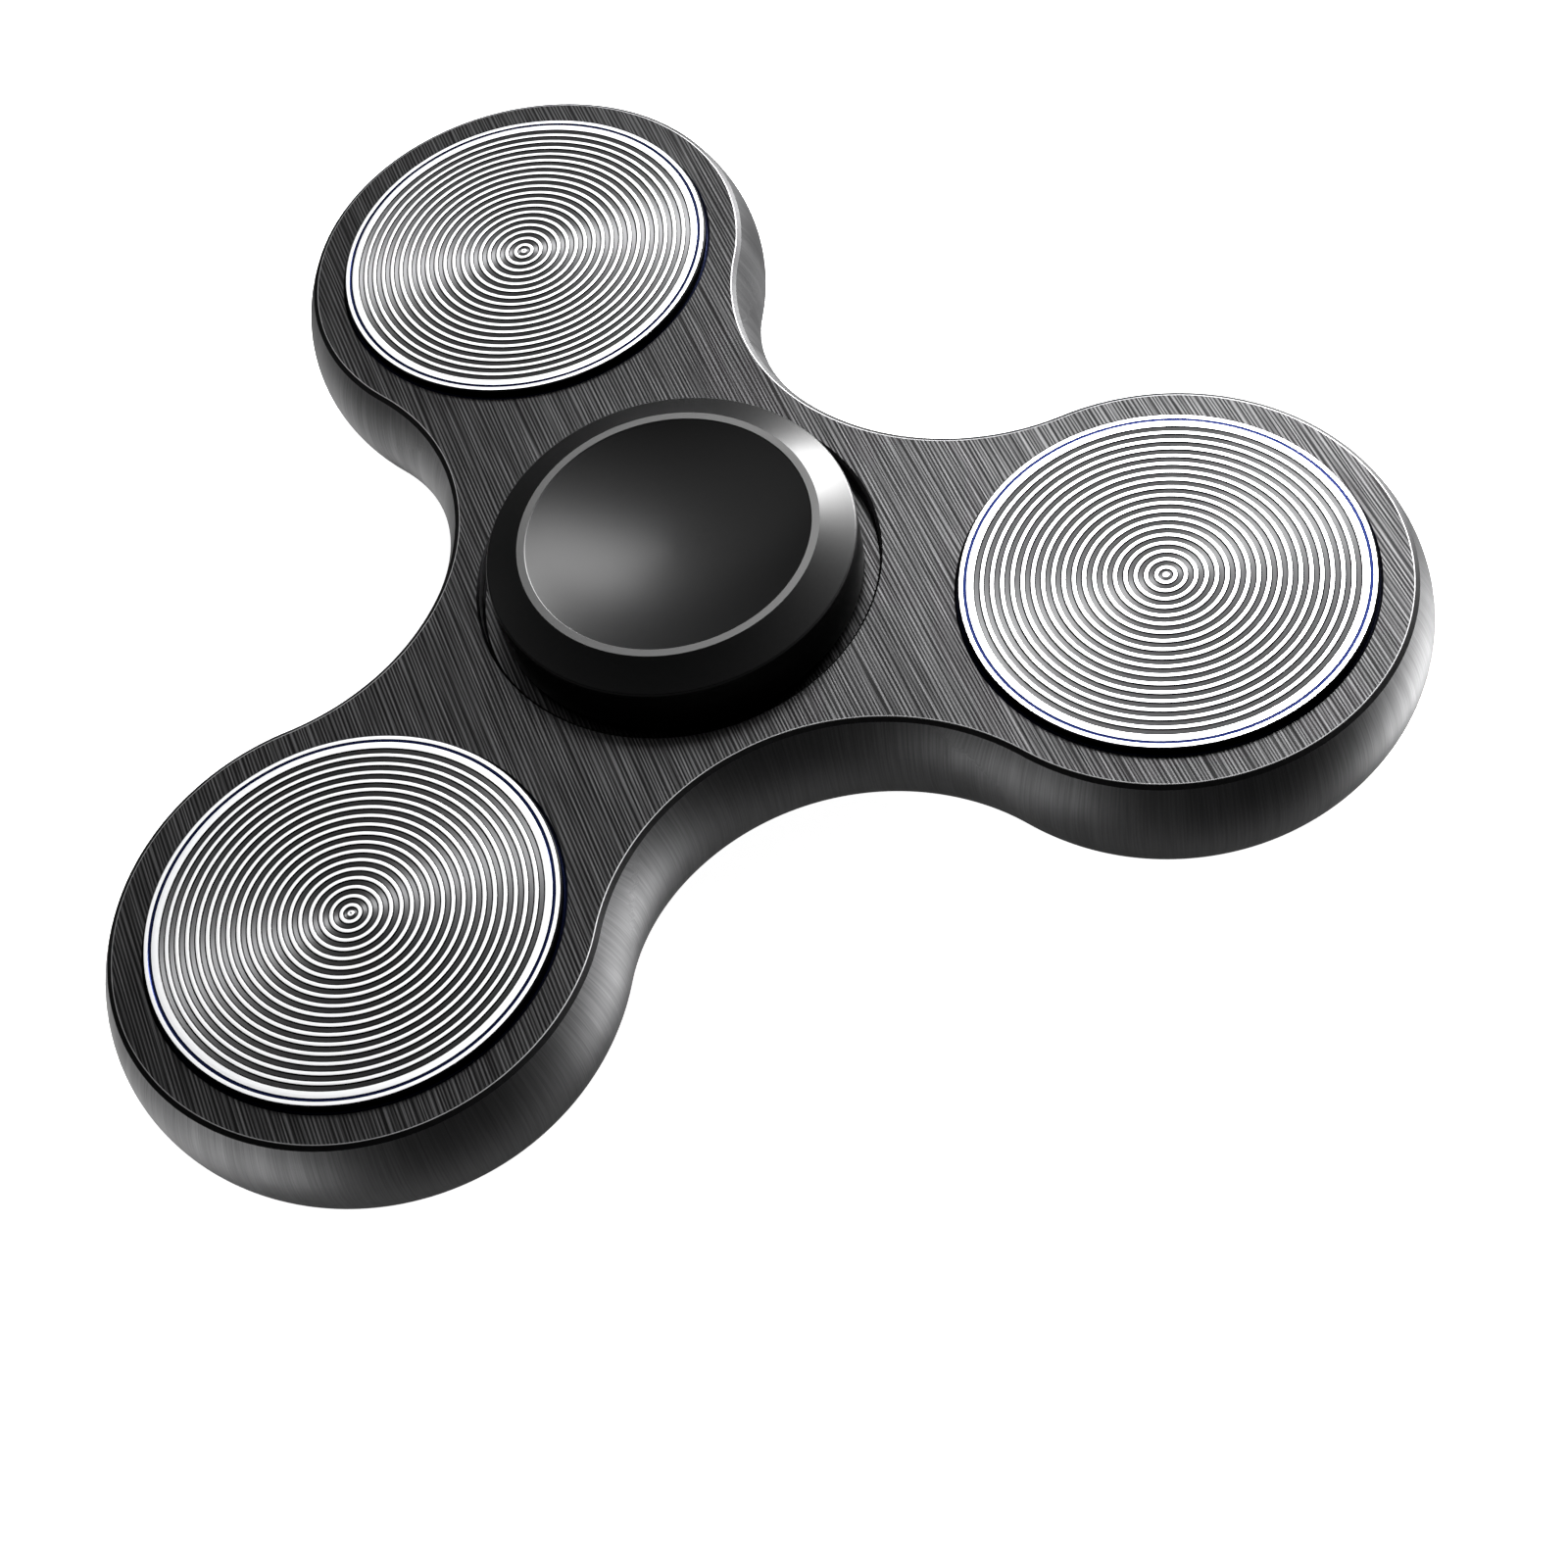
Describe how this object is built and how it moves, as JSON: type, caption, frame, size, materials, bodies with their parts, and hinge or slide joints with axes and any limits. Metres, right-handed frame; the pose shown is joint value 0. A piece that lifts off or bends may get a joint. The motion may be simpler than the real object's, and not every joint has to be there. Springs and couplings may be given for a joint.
{
  "type": "fidget spinner",
  "caption": "Hand spinner: a lobed plate with grooved round weights turns on a ball bearing between two dished finger caps.",
  "frame": {"origin": "on the spin axis, halfway through the frame's thickness", "axes": "+Z along the spin axis towards the cap with the stud; +Y towards the centre of weight 1; +X completes the right-handed set"},
  "size_m": [0.0732, 0.0671, 0.0132],
  "materials": {
    "anodised_frame": "brushed dark anodised",
    "anodised_cap": "satin black anodised, bare turned rim",
    "turned_steel": "turned in concentric grooves, bright",
    "bearing_steel": "ground and polished",
    "cage_steel": "pressed, satin",
    "shield_steel": "stamped, satin"
  },
  "bodies": {
    "grip": {"top_cap": "anodised_cap", "bottom_cap": "anodised_cap", "bearing_inner_ring": "bearing_steel"},
    "rotor": {"frame": "anodised_frame", "weight_1": "turned_steel", "weight_2": "turned_steel", "weight_3": "turned_steel", "bearing_outer_ring": "bearing_steel", "shield_top": "shield_steel", "shield_bottom": "shield_steel", "shield_clip_top": "shield_steel", "shield_clip_bottom": "shield_steel"},
    "cage": {"ball_cage": "cage_steel"},
    "ball_01": {"ball_01": "bearing_steel"},
    "ball_02": {"ball_02": "bearing_steel"},
    "ball_03": {"ball_03": "bearing_steel"},
    "ball_04": {"ball_04": "bearing_steel"},
    "ball_05": {"ball_05": "bearing_steel"},
    "ball_06": {"ball_06": "bearing_steel"},
    "ball_07": {"ball_07": "bearing_steel"},
    "ball_08": {"ball_08": "bearing_steel"},
    "ball_09": {"ball_09": "bearing_steel"},
    "ball_10": {"ball_10": "bearing_steel"}
  },
  "joints": [
    {"name": "spin", "type": "hinge", "parent": "grip", "child": "rotor", "pos_m": [0, 0, 0], "axis": [0, 0, 1], "continuous": true},
    {"name": "cage_orbit", "type": "hinge", "parent": "grip", "child": "cage", "pos_m": [0, 0, 0], "axis": [0, 0, 1], "continuous": true},
    {"name": "ball_01_roll", "type": "hinge", "parent": "cage", "child": "ball_01", "pos_m": [0.00476, 0, 0], "axis": [0, 0, 1], "continuous": true},
    {"name": "ball_02_roll", "type": "hinge", "parent": "cage", "child": "ball_02", "pos_m": [0.00385, 0.0028, 0], "axis": [0, 0, 1], "continuous": true},
    {"name": "ball_03_roll", "type": "hinge", "parent": "cage", "child": "ball_03", "pos_m": [0.00147, 0.00453, 0], "axis": [0, 0, 1], "continuous": true},
    {"name": "ball_04_roll", "type": "hinge", "parent": "cage", "child": "ball_04", "pos_m": [-0.00147, 0.00453, 0], "axis": [0, 0, 1], "continuous": true},
    {"name": "ball_05_roll", "type": "hinge", "parent": "cage", "child": "ball_05", "pos_m": [-0.00385, 0.0028, 0], "axis": [0, 0, 1], "continuous": true},
    {"name": "ball_06_roll", "type": "hinge", "parent": "cage", "child": "ball_06", "pos_m": [-0.00476, 0, 0], "axis": [0, 0, 1], "continuous": true},
    {"name": "ball_07_roll", "type": "hinge", "parent": "cage", "child": "ball_07", "pos_m": [-0.00385, -0.0028, 0], "axis": [0, 0, 1], "continuous": true},
    {"name": "ball_08_roll", "type": "hinge", "parent": "cage", "child": "ball_08", "pos_m": [-0.00147, -0.00453, 0], "axis": [0, 0, 1], "continuous": true},
    {"name": "ball_09_roll", "type": "hinge", "parent": "cage", "child": "ball_09", "pos_m": [0.00147, -0.00453, 0], "axis": [0, 0, 1], "continuous": true},
    {"name": "ball_10_roll", "type": "hinge", "parent": "cage", "child": "ball_10", "pos_m": [0.00385, -0.0028, 0], "axis": [0, 0, 1], "continuous": true}
  ],
  "couplings": [
    {"joint": "cage_orbit", "follows": "spin", "ratio": 0.60415},
    {"joint": "ball_01_roll", "follows": "spin", "ratio": 2.2963},
    {"joint": "ball_02_roll", "follows": "spin", "ratio": 2.2963},
    {"joint": "ball_03_roll", "follows": "spin", "ratio": 2.2963},
    {"joint": "ball_04_roll", "follows": "spin", "ratio": 2.2963},
    {"joint": "ball_05_roll", "follows": "spin", "ratio": 2.2963},
    {"joint": "ball_06_roll", "follows": "spin", "ratio": 2.2963},
    {"joint": "ball_07_roll", "follows": "spin", "ratio": 2.2963},
    {"joint": "ball_08_roll", "follows": "spin", "ratio": 2.2963},
    {"joint": "ball_09_roll", "follows": "spin", "ratio": 2.2963},
    {"joint": "ball_10_roll", "follows": "spin", "ratio": 2.2963}
  ]
}
